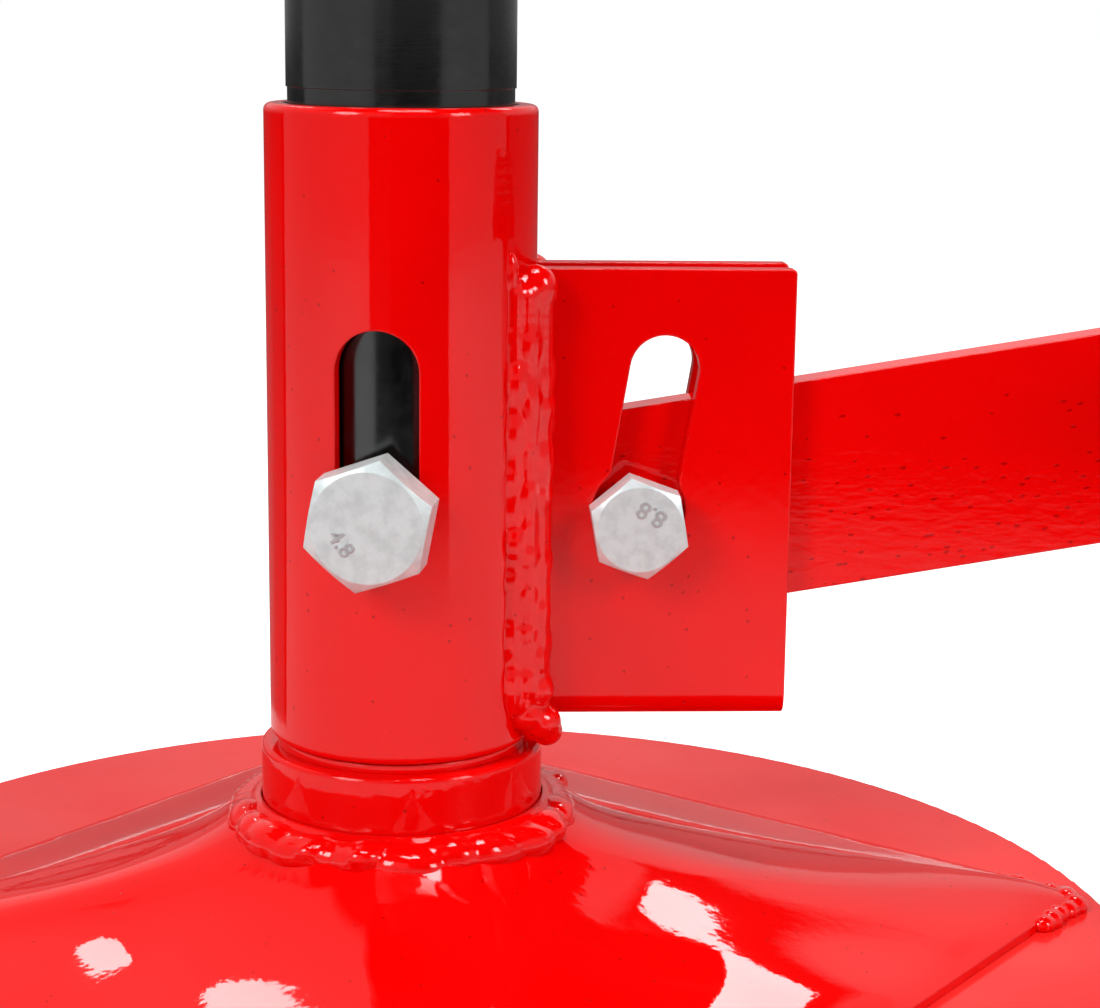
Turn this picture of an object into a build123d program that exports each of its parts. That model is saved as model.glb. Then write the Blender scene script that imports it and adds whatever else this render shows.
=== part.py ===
from build123d import *
from math import cos, radians, sin, sqrt, tan
import os

# Axle stand with a round base, a swivelling column and a ram raised by a pedal lever.
# Millimetres, +Z up. The origin is on the column's axis, on the floor.
# The lever points along +X, and the photographed side faces -Y.

os.makedirs("parts", exist_ok=True)

# Clearances
running_gap = 0.3
running_fit = 0.1
thread_gap = 0.05

# Base plate: the column stands a little off the plate's centre
disc_radius = 156.5
disc_thickness = 4.0
disc_offset = 6.0
disc_edge_round = 1.0

# Pressed brace, round at the collar and square at its foot, which is centred on the plate.
# Each section: distance to a corner, half the side, height above the base plate.
brace_sections = [
    (32.0, 31.6, 33.7),
    (36.5, 35.2, 30.8),
    (43.0, 39.8, 26.6),
    (51.0, 44.8, 22.8),
    (60.0, 50.5, 19.8),
    (80.0, 63.0, 15.0),
    (114.0, 84.6, 9.2),
    (134.7, 97.8, 6.0),
    (145.0, 104.4, 3.8),
    (149.1, 106.9, 2.0),
]
brace_turn = 5.6
brace_sheet = 3.0
corner_weld_radius = 3.0
corner_weld_leg = 28.0

# Collar: the fixed socket tube that the column turns on
collar_radius = 30.5
collar_height = 45.8
collar_edge_round = 1.0
collar_weld_radius = 4.6
collar_weld_out = 3.0
collar_weld_drop = 3.2

# Bearing washer between collar and sleeve
bearing_radius = 27.0
bearing_thickness = 1.9

# Sleeve
sleeve_radius = 28.5
sleeve_wall = 4.0
sleeve_height = 134.5
sleeve_rim_round = 1.5
window_margin = 1.5

# Ram: a tube, turned down a little where it runs in the sleeve
ram_radius = 23.6
ram_upper_radius = 23.9
ram_wall = 3.9
ram_step_rise = 3.3
ram_rise = 195.5
ram_floor_clearance = 8.0

# Lift bolt through the ram, M16, and its slot in the sleeve
lift_travel = 29.5
lift_bolt_rise = 52.5
lift_bolt_bearing = -100.0
lift_bolt_radius = 8.0
lift_bolt_flats = 24.0
lift_bolt_head = 10.0
lift_bolt_turn = 79.4
lift_slot_width = 17.3
lift_washer_radius = 15.0
lift_washer_thickness = 3.0
lift_nut_height = 13.0
bolt_stub = 4.0

# Lever bracket: one plate folded to a U, welded to the sleeve
bracket_plate = 4.0
bracket_bend = 3.0
bracket_reach = 82.5
bracket_rise = 4.3
bracket_height = 97.0
bracket_corner = 1.0
bracket_weld_radius = 5.6
bracket_weld_overrun = 2.0

# Lever: flat bar on edge, with a narrower tongue that reaches under the lift bolt
lever_slope = 9.3
lever_swing = 31.6
lever_thickness = 8.0
lever_height = 45.4
lever_hole_drop = 1.0
lever_reach = 190.0
lever_end_round = 8.0
lever_shoulder = 16.0
tongue_tip = 64.0
tongue_below = 12.0
tongue_throat = 18.0
tongue_heel = 9.0
tongue_round = 4.0

# Pivot bolt, M12, in a bush at the foot of the bracket's slanted slot
pivot_x = 49.9
pivot_rise = 47.4
pivot_bolt_radius = 6.0
pivot_bolt_flats = 19.0
pivot_bolt_head = 7.5
pivot_bolt_turn = 99.9
pivot_washer_radius = 12.0
pivot_washer_thickness = 2.5
pivot_nut_height = 10.0
bush_radius = 7.0
slot_radius = 7.35
slot_top = (55.2, 80.0)
pocket_center = (50.3, 50.0)
pocket_radius = 9.9
pocket_blend = 3.0

# Pedal: a foot plate welded on the lever's end, with a ribbed rubber pad
foot_length = 60.0
foot_width = 90.0
foot_sheet = 5.0
foot_corner = 10.0
foot_overhang = 6.0
foot_weld_radius = 4.0
pad_inset = 3.0
pad_thickness = 4.0
pad_rib_height = 2.5
pad_rib_width = 4.0
pad_ribs = 5

# Rim ring on the ram's top, which the locking pin rests on
rim_ring_radius = 32.0
rim_ring_height = 14.0
rim_ring_chamfer = 2.0

# Post: a drilled tube in the ram
post_play = 0.7
post_wall = 5.0
post_hidden = 190.0
post_above_pin = 45.0
post_hole_radius = 6.6
post_hole_pitch = 25.0
post_holes = 6
post_collar_radius = 27.0
post_collar_height = 10.0

# Locking pin with its pull ring
pin_radius = 6.0
pin_tip_reach = 34.0
pin_flange_radius = 9.0
pin_flange = 4.0
pin_flange_start = 36.0
pin_eye = 13.0
pin_eye_width = 9.0
pin_eye_round = 6.0
pin_eye_hole = 3.2
pin_nose = 2.0
pull_ring_radius = 15.0
pull_ring_wire = 2.0

# Saddle that carries the axle, with the spigot it turns on
saddle_length = 56.0
saddle_floor_half = 17.0
saddle_mouth_half = 35.0
saddle_floor = 9.0
saddle_lip_rise = 26.0
saddle_lip = 9.0
saddle_lip_round = 3.0
saddle_boss_radius = 22.0
saddle_boss_height = 6.0
spigot_above_pin = 11.0
spigot_chamfer = 2.0
groove_depth = 2.5
groove_height = 9.0
groove_drop = 14.0
screw_radius = 4.0
screw_stand_out = 1.5
screw_socket = 4.0
screw_socket_depth = 3.0

# Heights above the floor
disc_top = disc_thickness
collar_top = disc_top + collar_height
sleeve_bottom = collar_top + bearing_thickness + running_gap
sleeve_top = sleeve_bottom + sleeve_height
ram_bottom = disc_top + ram_floor_clearance
ram_step = sleeve_top + ram_step_rise
ram_top = sleeve_top + ram_rise
lift_z = sleeve_bottom + lift_bolt_rise
pivot_z = sleeve_bottom + pivot_rise
bracket_low = sleeve_bottom + bracket_rise
bracket_high = bracket_low + bracket_height
pin_z = ram_top + running_gap + pin_radius
post_bottom = ram_top - post_hidden
post_top = pin_z + post_above_pin
saddle_low = post_top + running_gap
saddle_seat = saddle_low + saddle_boss_height + saddle_floor
groove_z = post_top - groove_drop
spigot_low = pin_z + spigot_above_pin

# Radii and half widths that follow from the parts above
brace_neck = collar_radius + running_gap
bore_radius = sleeve_radius - sleeve_wall
ram_bore = ram_radius - ram_wall
bracket_half = lever_thickness / 2 + running_gap + bracket_plate
bush_half = bracket_half + running_gap
post_radius = ram_bore - post_play
post_bore = post_radius - post_wall
spigot_radius = post_bore - running_fit

# Lever edges above and below the line through the pivot, in the lever's own frame
rest_slope = radians(lever_slope)
low_slope = radians(lever_slope - lever_swing)
lever_top = lever_height / 2 + lever_hole_drop
lever_low = lever_top - lever_height
bolt_above_line = pivot_x * sin(rest_slope) + (lift_z - pivot_z) * cos(rest_slope)
tongue_top = bolt_above_line - lift_bolt_radius - running_gap
lever_plane = Plane(
    origin=(pivot_x, 0, pivot_z),
    x_dir=(cos(rest_slope), 0, sin(rest_slope)),
    z_dir=(0, -1, 0),
)


def tongue_z(out, slope, edge):
    """Height of one edge of the tongue at a distance out from the column's axis."""
    return pivot_z - (pivot_x - out) * tan(slope) + edge / cos(slope)


def lift_plane(out, facing=1):
    """Plane across the lift bolt, facing outwards on its head side or on its nut side."""
    side = radians(lift_bolt_bearing)
    return Plane(
        origin=(facing * out * cos(side), facing * out * sin(side), lift_z),
        x_dir=(-facing * sin(side), facing * cos(side), 0),
        z_dir=(facing * cos(side), facing * sin(side), 0),
    )


def pivot_plane(out, facing=1):
    """Plane across the pivot bolt, facing outwards on its head side or on its nut side."""
    return Plane(
        origin=(pivot_x, -facing * out, pivot_z),
        x_dir=(facing, 0, 0),
        z_dir=(0, -facing, 0),
    )


def ring(seat, outer, inner, height):
    """Plain ring or tube standing on the seat plane."""
    with BuildPart() as body:
        with BuildSketch(seat):
            Circle(outer)
            Circle(inner, mode=Mode.SUBTRACT)
        extrude(amount=height)
    return body.part


def hexagon(seat, flats, height, turn):
    """Hexagon standing on the seat plane, its far end turned to a shallow cone."""
    end_radius = 0.475 * flats
    with BuildPart() as body:
        with BuildSketch(seat):
            RegularPolygon(radius=flats / 2, side_count=6, major_radius=False, rotation=turn)
        extrude(amount=height)
        with Locations(seat.location):
            Cone(
                end_radius + height / tan(radians(30)),
                end_radius,
                height,
                align=(Align.CENTER, Align.CENTER, Align.MIN),
                mode=Mode.INTERSECT,
            )
    return body.part


def hex_bolt(seat, radius, length, flats, head, turn):
    """Hex-head bolt: the head stands on the seat and the shank goes the other way."""
    with BuildPart() as body:
        add(hexagon(seat, flats, head, turn))
        with BuildSketch(seat):
            Circle(radius)
        extrude(amount=-length)
        chamfer(body.edges().sort_by(Axis(seat.origin, seat.z_dir))[0], radius / 8)
    return body.part


def hex_nut(seat, hole, flats, height, turn):
    """Hex nut standing on the seat plane."""
    with BuildPart() as body:
        add(hexagon(seat, flats, height, turn))
        with BuildSketch(seat):
            Circle(hole)
        extrude(amount=height, mode=Mode.SUBTRACT)
    return body.part


def save(part, name):
    """Label a finished piece and write its file."""
    part.label = name
    export_step(part, f"parts/{name}.step")


# Base plate
with BuildPart() as base_disc:
    with BuildSketch():
        with Locations((disc_offset, 0)):
            Circle(disc_radius)
    extrude(amount=disc_thickness)
    fillet(base_disc.edges(), disc_edge_round)
save(base_disc.part, "base_disc")


# Pressed brace
def brace_block(sheet):
    """Solid under the brace's skin, moved in and down by the sheet for its inside."""
    neck_reach = brace_sections[0][0]
    foot_reach = brace_sections[-1][0]
    with BuildPart() as body:
        for reach, half_side, rise in brace_sections:
            corner = (half_side * sqrt(2) - reach) / (sqrt(2) - 1)
            side = 2 * (half_side - sheet)
            shift = disc_offset * (reach - neck_reach) / (foot_reach - neck_reach)
            with BuildSketch(Plane.XY.offset(disc_top + rise - sheet)):
                with Locations((shift, 0)):
                    RectangleRounded(side, side, corner - sheet, rotation=brace_turn + 45)
        loft()
        extrude(body.faces().sort_by(Axis.Z)[0], amount=brace_sections[-1][2])
    return body.part


brace_outside = brace_block(0)
brace_inside = brace_block(brace_sheet)
with BuildPart() as base_brace:
    add(brace_outside)
    add(brace_inside, mode=Mode.SUBTRACT)
    with BuildSketch(Plane.XY):
        Circle(brace_neck)
    extrude(amount=collar_top, mode=Mode.SUBTRACT)
save(base_brace.part, "base_brace")

# Stitch welds round the brace's four corners
foot_reach, foot_half, foot_rise = brace_sections[-1]
weld_corner = (foot_half * sqrt(2) - foot_reach) / (sqrt(2) - 1)
weld_start = foot_half - corner_weld_leg
with BuildPart() as one_corner:
    with BuildLine(Plane.XY.offset(disc_top)):
        FilletPolyline(
            (foot_half, weld_start),
            (foot_half, foot_half),
            (weld_start, foot_half),
            radius=weld_corner,
        )
    with BuildSketch(Plane(origin=(foot_half, weld_start, disc_top), z_dir=(0, 1, 0))):
        Circle(corner_weld_radius)
    sweep()
    split(bisect_by=Plane.XY.offset(disc_top), keep=Keep.TOP)
with BuildPart() as brace_welds:
    with Locations((disc_offset, 0)):
        with PolarLocations(0, 4, start_angle=brace_turn + 45):
            add(one_corner.part)
    add(brace_outside, mode=Mode.SUBTRACT)
save(brace_welds.part, "brace_welds")

# Collar and the weld bead round its foot
with BuildPart() as collar:
    add(ring(Plane.XY.offset(disc_top), collar_radius, bore_radius, collar_height))
    upper_rims = collar.edges().filter_by(GeomType.CIRCLE).group_by(Axis.Z)[-1]
    fillet(upper_rims.sort_by(SortBy.RADIUS)[-1], collar_edge_round)
save(collar.part, "collar")

neck_z = disc_top + brace_sections[0][2]
with BuildPart() as collar_weld:
    with BuildSketch(Plane.XZ):
        with Locations((brace_neck + collar_weld_out, neck_z - collar_weld_drop)):
            Circle(collar_weld_radius)
        with Locations((0, neck_z - collar_weld_drop)):
            Rectangle(2 * collar_radius, 3 * collar_weld_radius, mode=Mode.SUBTRACT)
    revolve(axis=Axis.Z)
    add(brace_outside, mode=Mode.SUBTRACT)
save(collar_weld.part, "collar_weld")

# Bearing washer that the sleeve turns on
bearing = ring(Plane.XY.offset(collar_top), bearing_radius, bore_radius, bearing_thickness)
save(bearing, "bearing_washer")

# Sleeve, with the lift bolt's slot through both walls and the tongue's window
window_width = lever_thickness + 2 * window_margin
with BuildPart() as sleeve:
    add(ring(Plane.XY.offset(sleeve_bottom), sleeve_radius, bore_radius, sleeve_height))
    rims = sleeve.edges().filter_by(GeomType.CIRCLE).group_by(Axis.Z)
    outer_rims = [rims[0].sort_by(SortBy.RADIUS)[-1], rims[-1].sort_by(SortBy.RADIUS)[-1]]
    fillet(outer_rims, sleeve_rim_round)
    with BuildSketch(lift_plane(0)):
        with Locations((0, lift_travel / 2)):
            SlotCenterToCenter(lift_travel, lift_slot_width, rotation=90)
    extrude(amount=2 * sleeve_radius, both=True, mode=Mode.SUBTRACT)
    window_low = tongue_z(bore_radius, rest_slope, -tongue_below) - window_margin
    window_high = tongue_z(bore_radius, low_slope, tongue_top) + window_margin
    with BuildSketch(Plane.YZ):
        with Locations((0, (window_low + window_high) / 2)):
            RectangleRounded(window_width, window_high - window_low, window_margin)
    extrude(amount=2 * sleeve_radius, mode=Mode.SUBTRACT)
save(sleeve.part, "sleeve")

# Lever bracket, with the slanted slot and the pocket that the bush rests in
fold_half = bracket_half - bracket_plate / 2
fold_low = bracket_low + bracket_plate / 2
slot_middle = ((slot_top[0] + pocket_center[0]) / 2, (slot_top[1] + pocket_center[1]) / 2)
with BuildPart() as bracket:
    with BuildSketch(Plane.YZ):
        with BuildLine():
            FilletPolyline(
                (fold_half, bracket_high),
                (fold_half, fold_low),
                (-fold_half, fold_low),
                (-fold_half, bracket_high),
                radius=bracket_bend,
            )
        trace(line_width=bracket_plate)
    extrude(amount=bracket_reach)
    with BuildSketch(Plane.XZ):
        with Locations((0, bracket_low + bracket_height / 2)):
            RectangleRounded(2 * bracket_reach, bracket_height, bracket_corner)
    extrude(amount=bracket_half, both=True, mode=Mode.INTERSECT)
    with BuildSketch(Plane.XY):
        Circle(sleeve_radius)
    extrude(amount=sleeve_top, mode=Mode.SUBTRACT)
    with BuildSketch(Plane.XZ.offset(-2 * bracket_half)) as slanted_slot:
        with Locations((0, sleeve_bottom)):
            SlotCenterPoint(slot_middle, slot_top, 2 * slot_radius)
            with Locations(pocket_center):
                Circle(pocket_radius)
        fillet(slanted_slot.vertices().sort_by(Axis.Y)[:2], pocket_blend)
    extrude(amount=4 * bracket_half, mode=Mode.SUBTRACT)
save(bracket.part, "bracket")

# Weld beads down both sides of the joint between bracket and sleeve
weld_low = bracket_low - bracket_weld_overrun / 2
weld_high = bracket_high + bracket_weld_overrun
bead_x = sleeve_radius - 1
bead_y = bracket_half + 2
with BuildPart() as bracket_welds:
    with BuildSketch(Plane.XY.offset(weld_low)):
        with Locations((bead_x, bead_y), (bead_x, -bead_y)):
            Circle(bracket_weld_radius)
        Circle(sleeve_radius, mode=Mode.SUBTRACT)
        Rectangle(4 * bracket_reach, 2 * bracket_half, mode=Mode.SUBTRACT)
    extrude(amount=weld_high - weld_low)
save(bracket_welds.part, "bracket_welds")

# Ram, with the hole for the lift bolt and the window for the tongue
with BuildPart() as ram:
    add(ring(Plane.XY.offset(ram_bottom), ram_radius, ram_bore, ram_step - ram_bottom))
    add(ring(Plane.XY.offset(ram_step), ram_upper_radius, ram_bore, ram_top - ram_step))
    with BuildSketch(lift_plane(0)):
        Circle(lift_bolt_radius + thread_gap)
    extrude(amount=2 * ram_radius, both=True, mode=Mode.SUBTRACT)
    heel_z = tongue_z(ram_radius, low_slope, -tongue_below)
    window_low = heel_z - lift_travel - window_margin
    window_high = tongue_z(ram_radius, rest_slope, tongue_top) + window_margin
    with BuildSketch(Plane.YZ):
        with Locations((0, (window_low + window_high) / 2)):
            RectangleRounded(window_width, window_high - window_low, window_margin)
    extrude(amount=2 * ram_radius, mode=Mode.SUBTRACT)
save(ram.part, "ram")

# Lift bolt, its washer and its nut
bolt_seat = sleeve_radius + running_gap
nut_seat = bolt_seat + lift_washer_thickness
lift_hole = lift_bolt_radius + thread_gap
lift_bolt = hex_bolt(
    lift_plane(bolt_seat),
    lift_bolt_radius,
    bolt_seat + nut_seat + lift_nut_height + bolt_stub,
    lift_bolt_flats,
    lift_bolt_head,
    lift_bolt_turn,
)
lift_washer = ring(lift_plane(bolt_seat, -1), lift_washer_radius, lift_hole, lift_washer_thickness)
lift_nut = hex_nut(lift_plane(nut_seat, -1), lift_hole, lift_bolt_flats, lift_nut_height, 0)
save(lift_bolt, "lift_bolt")
save(lift_washer, "lift_washer")
save(lift_nut, "lift_nut")

# Pivot bolt, its bush, washer and nut
pivot_nut_seat = bush_half + pivot_washer_thickness
pivot_hole = pivot_bolt_radius + thread_gap
pivot_bolt = hex_bolt(
    pivot_plane(bush_half),
    pivot_bolt_radius,
    bush_half + pivot_nut_seat + pivot_nut_height + bolt_stub,
    pivot_bolt_flats,
    pivot_bolt_head,
    pivot_bolt_turn,
)
pivot_bush = ring(pivot_plane(-bush_half), bush_radius, pivot_hole, 2 * bush_half)
pivot_washer = ring(
    pivot_plane(bush_half, -1), pivot_washer_radius, pivot_hole, pivot_washer_thickness
)
pivot_nut = hex_nut(
    pivot_plane(pivot_nut_seat, -1), pivot_hole, pivot_bolt_flats, pivot_nut_height, 0
)
save(pivot_bolt, "pivot_bolt")
save(pivot_bush, "pivot_bush")
save(pivot_washer, "pivot_washer")
save(pivot_nut, "pivot_nut")

# Lever
with BuildPart() as lever:
    with BuildSketch(lever_plane) as lever_outline:
        with BuildLine():
            Polyline(
                (-tongue_tip, -tongue_below),
                (-tongue_tip, tongue_top),
                (-lever_shoulder, tongue_top),
                (-lever_shoulder, lever_top),
                (lever_reach, lever_top),
                (lever_reach, lever_low),
                (-tongue_heel, lever_low),
                (-tongue_throat, -tongue_below),
                close=True,
            )
        make_face()
        fillet(lever_outline.vertices().sort_by(Axis.X)[:2], tongue_round)
        fillet(lever_outline.vertices().sort_by(Axis.X)[-2:], lever_end_round)
        Circle(bush_radius + running_fit, mode=Mode.SUBTRACT)
    extrude(amount=lever_thickness / 2, both=True)
save(lever.part, "lever")

# Pedal plate across the lever's end, its welds and the rubber pad
foot_middle = lever_reach + foot_overhang - foot_length / 2
foot_plane = Plane(
    origin=lever_plane.from_local_coords((foot_middle, lever_top, 0)),
    x_dir=lever_plane.x_dir,
    z_dir=lever_plane.y_dir,
)
with BuildPart() as pedal_plate:
    with BuildSketch(foot_plane):
        RectangleRounded(foot_length, foot_width, foot_corner)
    extrude(amount=foot_sheet)
save(pedal_plate.part, "pedal_plate")

foot_weld_plane = Plane(
    origin=lever_plane.from_local_coords((foot_middle - foot_length / 2, lever_top, 0)),
    x_dir=(0, 1, 0),
    z_dir=lever_plane.x_dir,
)
with BuildPart() as pedal_welds:
    with BuildSketch(foot_weld_plane):
        with Locations((lever_thickness / 2, 0), (-lever_thickness / 2, 0)):
            Circle(foot_weld_radius)
        Rectangle(lever_thickness, 4 * foot_weld_radius, mode=Mode.SUBTRACT)
    extrude(amount=foot_length - foot_overhang - lever_end_round)
    split(bisect_by=foot_plane, keep=Keep.BOTTOM)
save(pedal_welds.part, "pedal_welds")

rib_pitch = (foot_length - 2 * pad_inset - 2 * pad_rib_width) / (pad_ribs - 1)
pad_length = foot_length - 2 * pad_inset
pad_width = foot_width - 2 * pad_inset
with BuildPart() as pedal_pad:
    with BuildSketch(foot_plane.offset(foot_sheet)):
        RectangleRounded(pad_length, pad_width, foot_corner - pad_inset)
    extrude(amount=pad_thickness)
    with BuildSketch(foot_plane.offset(foot_sheet + pad_thickness)):
        with GridLocations(rib_pitch, 0, pad_ribs, 1):
            SlotOverall(pad_width - 4 * pad_inset, pad_rib_width, rotation=90)
    extrude(amount=pad_rib_height)
save(pedal_pad.part, "pedal_pad")

# Rim ring on the ram's top
rim_ring_seat = Plane.XY.offset(ram_top - rim_ring_height)
with BuildPart() as rim_ring:
    add(ring(rim_ring_seat, rim_ring_radius, ram_upper_radius + thread_gap, rim_ring_height))
    lower_rims = rim_ring.edges().filter_by(GeomType.CIRCLE).group_by(Axis.Z)[0]
    chamfer(lower_rims.sort_by(SortBy.RADIUS)[-1], rim_ring_chamfer)
save(rim_ring.part, "rim_ring")

# Post with a row of pin holes and the screw hole for the spigot
with BuildPart() as post:
    add(ring(Plane.XY.offset(post_bottom), post_radius, post_bore, post_top - post_bottom))
    with BuildSketch(Plane.XZ):
        for step in range(post_holes):
            with Locations((0, pin_z - step * post_hole_pitch)):
                Circle(post_hole_radius)
    extrude(amount=2 * post_radius, both=True, mode=Mode.SUBTRACT)
    with BuildSketch(Plane.YZ):
        with Locations((0, groove_z)):
            Circle(screw_radius + thread_gap)
    extrude(amount=2 * post_radius, mode=Mode.SUBTRACT)
save(post.part, "post")

# Collar ring round the post's top, which the saddle turns on
post_collar_seat = Plane.XY.offset(post_top - post_collar_height)
with BuildPart() as post_collar:
    add(ring(post_collar_seat, post_collar_radius, post_radius + thread_gap, post_collar_height))
    lower_rims = post_collar.edges().filter_by(GeomType.CIRCLE).group_by(Axis.Z)[0]
    chamfer(lower_rims.sort_by(SortBy.RADIUS)[-1], rim_ring_chamfer)
save(post_collar.part, "post_collar")

# Set screw that keeps the spigot in the post
screw_end = spigot_radius - groove_depth + running_gap
screw_face = post_radius + screw_stand_out
with BuildPart() as spigot_screw:
    with BuildSketch(Plane(origin=(screw_end, 0, groove_z), z_dir=(1, 0, 0))):
        Circle(screw_radius)
    extrude(amount=screw_face - screw_end)
    with BuildSketch(Plane(origin=(screw_face, 0, groove_z), z_dir=(1, 0, 0))):
        RegularPolygon(radius=screw_socket / 2, side_count=6, major_radius=False)
    extrude(amount=-screw_socket_depth, mode=Mode.SUBTRACT)
save(spigot_screw.part, "spigot_screw")

# Locking pin with a flange and a flat eye, and its pull ring
eye_y = -pin_flange_start - pin_flange - pin_eye / 2
with BuildPart() as locking_pin:
    with BuildSketch(Plane(origin=(0, pin_tip_reach, pin_z), z_dir=(0, -1, 0))):
        Circle(pin_radius)
    extrude(amount=pin_tip_reach + pin_flange_start)
    with BuildSketch(Plane(origin=(0, -pin_flange_start, pin_z), z_dir=(0, -1, 0))):
        Circle(pin_flange_radius)
    extrude(amount=pin_flange)
    pin_rims = locking_pin.edges().filter_by(GeomType.CIRCLE).sort_by(Axis.Y)
    chamfer(pin_rims[-1], pin_nose)
    chamfer(pin_rims[0], pin_nose / 2)
    with BuildSketch(Plane.YZ):
        with Locations((eye_y, pin_z)):
            RectangleRounded(pin_eye + pin_nose, pin_eye, pin_eye_round)
    extrude(amount=pin_eye_width / 2, both=True)
    with BuildSketch(Plane.YZ):
        with Locations((eye_y, pin_z)):
            Circle(pin_eye_hole)
    extrude(amount=pin_eye_width, both=True, mode=Mode.SUBTRACT)
save(locking_pin.part, "locking_pin")

with BuildPart() as pull_ring:
    with Locations((0, eye_y - pull_ring_radius, pin_z)):
        Torus(pull_ring_radius, pull_ring_wire)
save(pull_ring.part, "pull_ring")

# Saddle: a cradle with flared sides on a round boss
with BuildPart() as saddle:
    with BuildSketch(Plane.XZ) as cradle:
        with BuildLine():
            Polyline(
                (saddle_floor_half, saddle_seat),
                (saddle_mouth_half - saddle_lip, saddle_seat + saddle_lip_rise),
                (saddle_mouth_half, saddle_seat + saddle_lip_rise),
                (saddle_floor_half + saddle_lip, saddle_seat - saddle_floor),
                (-saddle_floor_half - saddle_lip, saddle_seat - saddle_floor),
                (-saddle_mouth_half, saddle_seat + saddle_lip_rise),
                (-saddle_mouth_half + saddle_lip, saddle_seat + saddle_lip_rise),
                (-saddle_floor_half, saddle_seat),
                close=True,
            )
        make_face()
        fillet(cradle.vertices(), saddle_lip_round)
    extrude(amount=saddle_length / 2, both=True)
    with BuildSketch(Plane.XY.offset(saddle_low)):
        Circle(saddle_boss_radius)
    extrude(amount=saddle_boss_height)
save(saddle.part, "saddle")

# Spigot under the saddle, with a groove for the set screw
groove_seat = Plane.XY.offset(groove_z - groove_height / 2)
with BuildPart() as saddle_spigot:
    with BuildSketch(Plane.XY.offset(spigot_low)):
        Circle(spigot_radius)
    extrude(amount=saddle_low - spigot_low)
    chamfer(saddle_spigot.edges().sort_by(Axis.Z)[0], spigot_chamfer)
    add(
        ring(groove_seat, post_bore, spigot_radius - groove_depth, groove_height),
        mode=Mode.SUBTRACT,
    )
save(saddle_spigot.part, "saddle_spigot")
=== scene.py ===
"""Looks of an axle stand with a round base, a swivelling column, a pedal lever and a pinned post.

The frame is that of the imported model: the origin is on the column's axis at the floor, +X points
along the lever and the photographed side faces -Y. Lengths are in metres. Only the swells, the
runs, the lumps and the pairs of uneven sizes are in millimetres, as their classes say.
"""

import logging
import math
import random
from dataclasses import dataclass, field
from enum import Enum

import bpy
from mathutils import Matrix, Vector

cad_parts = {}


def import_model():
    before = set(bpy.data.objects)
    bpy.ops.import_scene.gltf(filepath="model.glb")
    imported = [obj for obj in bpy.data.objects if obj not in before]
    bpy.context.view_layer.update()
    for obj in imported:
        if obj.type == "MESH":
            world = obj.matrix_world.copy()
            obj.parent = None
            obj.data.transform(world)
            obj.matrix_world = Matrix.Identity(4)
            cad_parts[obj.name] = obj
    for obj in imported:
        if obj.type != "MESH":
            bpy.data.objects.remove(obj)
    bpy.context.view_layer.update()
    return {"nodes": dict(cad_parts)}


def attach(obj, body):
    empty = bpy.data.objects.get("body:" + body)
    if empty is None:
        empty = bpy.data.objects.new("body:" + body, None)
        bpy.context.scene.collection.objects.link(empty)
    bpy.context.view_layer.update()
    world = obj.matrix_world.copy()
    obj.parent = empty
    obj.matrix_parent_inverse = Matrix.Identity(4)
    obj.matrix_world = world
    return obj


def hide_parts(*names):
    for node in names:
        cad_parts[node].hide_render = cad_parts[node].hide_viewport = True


log = logging.getLogger("axle_stand")
MM = 0.001
VECTOR = "NodeSocketVector"
FLOAT = "NodeSocketFloat"
BEVEL_SAMPLES = 4
FLATTENED = 1000.0  # a scale that takes one axis out of a distance
# Sockets of a Mix node that mixes colours.
MIX_FACTOR, MIX_FIRST, MIX_SECOND, MIX_RESULT = 0, 6, 7, 2
Color = tuple[float, float, float]
Triple = tuple[float, float, float]
Pair = tuple[float, float]
Socket = bpy.types.NodeSocket
Value = float | Socket
Nodes = dict[str, bpy.types.Object]


class Body(Enum):
    """The moving groups that new pieces ride on."""

    BASE = "base"
    SLEEVE = "sleeve"
    RAM = "ram"


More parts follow.
